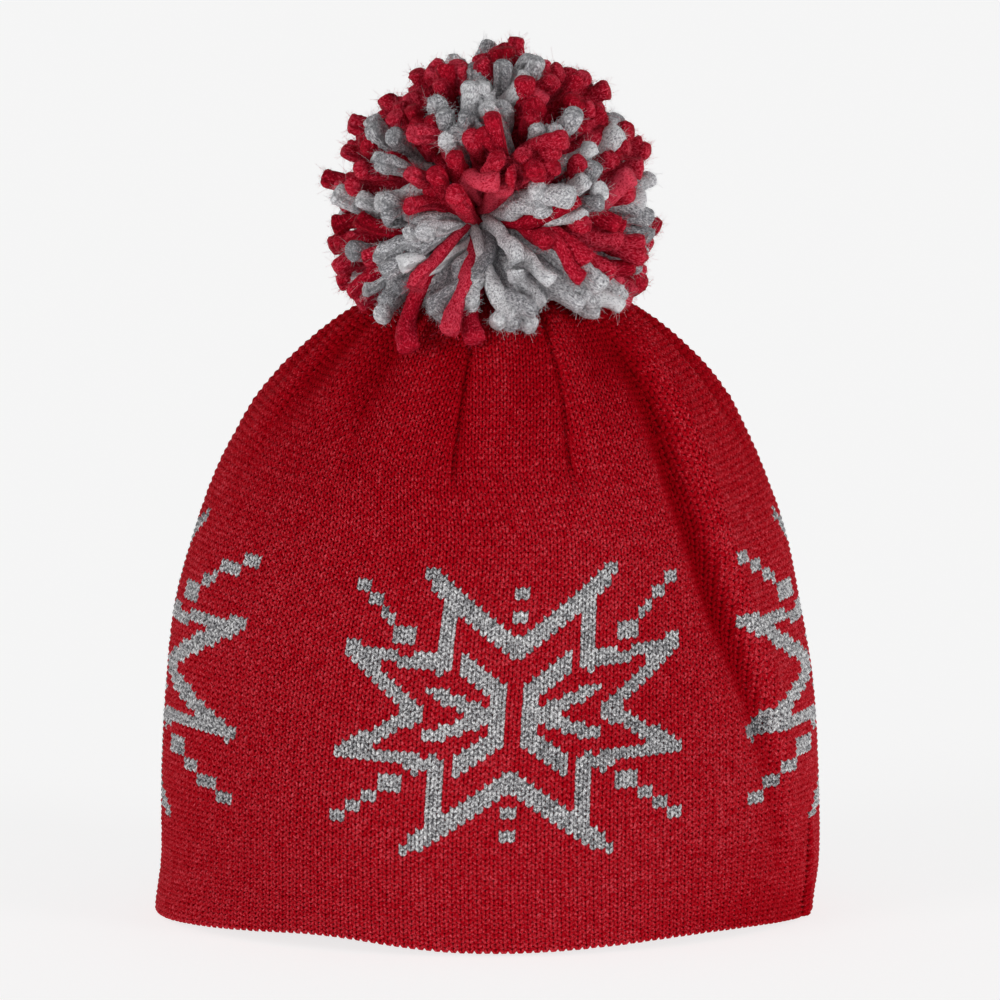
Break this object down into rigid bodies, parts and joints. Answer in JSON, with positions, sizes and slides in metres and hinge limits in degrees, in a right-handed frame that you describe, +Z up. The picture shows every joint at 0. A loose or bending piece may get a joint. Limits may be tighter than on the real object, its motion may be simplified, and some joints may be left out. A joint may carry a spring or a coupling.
{
  "type": "knit beanie",
  "caption": "Close-fitting knit beanie with a snowflake pattern, darted dome crown, plain hem and a large two-colour yarn pompom.",
  "frame": {"origin": "centre of the hem's opening, on the plane the hem stands on", "axes": "+Z up towards the pompom, -Y towards the front of the hat, +X towards the wearer's left"},
  "size_m": [0.216, 0.156, 0.2887],
  "materials": {
    "knit_red": "matte wool knit",
    "seam_red": "matte sewn yarn",
    "yarn_red": "soft twisted yarn",
    "yarn_grey": "soft heathered yarn"
  },
  "bodies": {
    "hat": {"knit_body": "knit_red", "side_seam": "seam_red", "crown_dart_seam_1": "seam_red", "crown_dart_seam_2": "seam_red", "crown_dart_seam_3": "seam_red", "crown_dart_seam_4": "seam_red", "crown_dart_seam_5": "seam_red", "crown_dart_seam_6": "seam_red", "crown_dart_seam_7": "seam_red", "crown_dart_seam_8": "seam_red", "crown_dart_seam_9": "seam_red", "crown_dart_seam_10": "seam_red", "crown_dart_seam_11": "seam_red", "crown_dart_seam_12": "seam_red", "crown_gather_thread": "seam_red", "anchor_knot": "yarn_red", "anchor_cord": "yarn_red"},
    "tail_flex": {"tail_flex": "yarn_red"},
    "pompom": {"pompom_tails": "yarn_red", "pompom_tie": "yarn_red", "pompom_bundle_top_1": "yarn_grey", "pompom_bundle_upper_1": "yarn_red", "pompom_bundle_upper_2": "yarn_grey", "pompom_bundle_upper_3": "yarn_red", "pompom_bundle_upper_4": "yarn_grey", "pompom_bundle_upper_5": "yarn_red", "pompom_bundle_lower_1": "yarn_grey", "pompom_bundle_lower_2": "yarn_red", "pompom_bundle_lower_3": "yarn_grey", "pompom_bundle_lower_4": "yarn_red", "pompom_bundle_lower_5": "yarn_grey", "pompom_bundle_lower_6": "yarn_red", "pompom_bundle_lower_7": "yarn_grey", "pompom_bundle_lower_8": "yarn_red"}
  },
  "joints": [
    {"name": "pompom_nod", "type": "hinge", "parent": "hat", "child": "tail_flex", "pos_m": [0, 0, 0.2143], "axis": [1, 0, 0], "range_deg": [-12, 12], "stiffness_Nm_per_rad": 0.03},
    {"name": "pompom_tilt", "type": "hinge", "parent": "tail_flex", "child": "pompom", "pos_m": [0, 0, 0.2143], "axis": [0, 1, 0], "range_deg": [-12, 12], "stiffness_Nm_per_rad": 0.03}
  ]
}
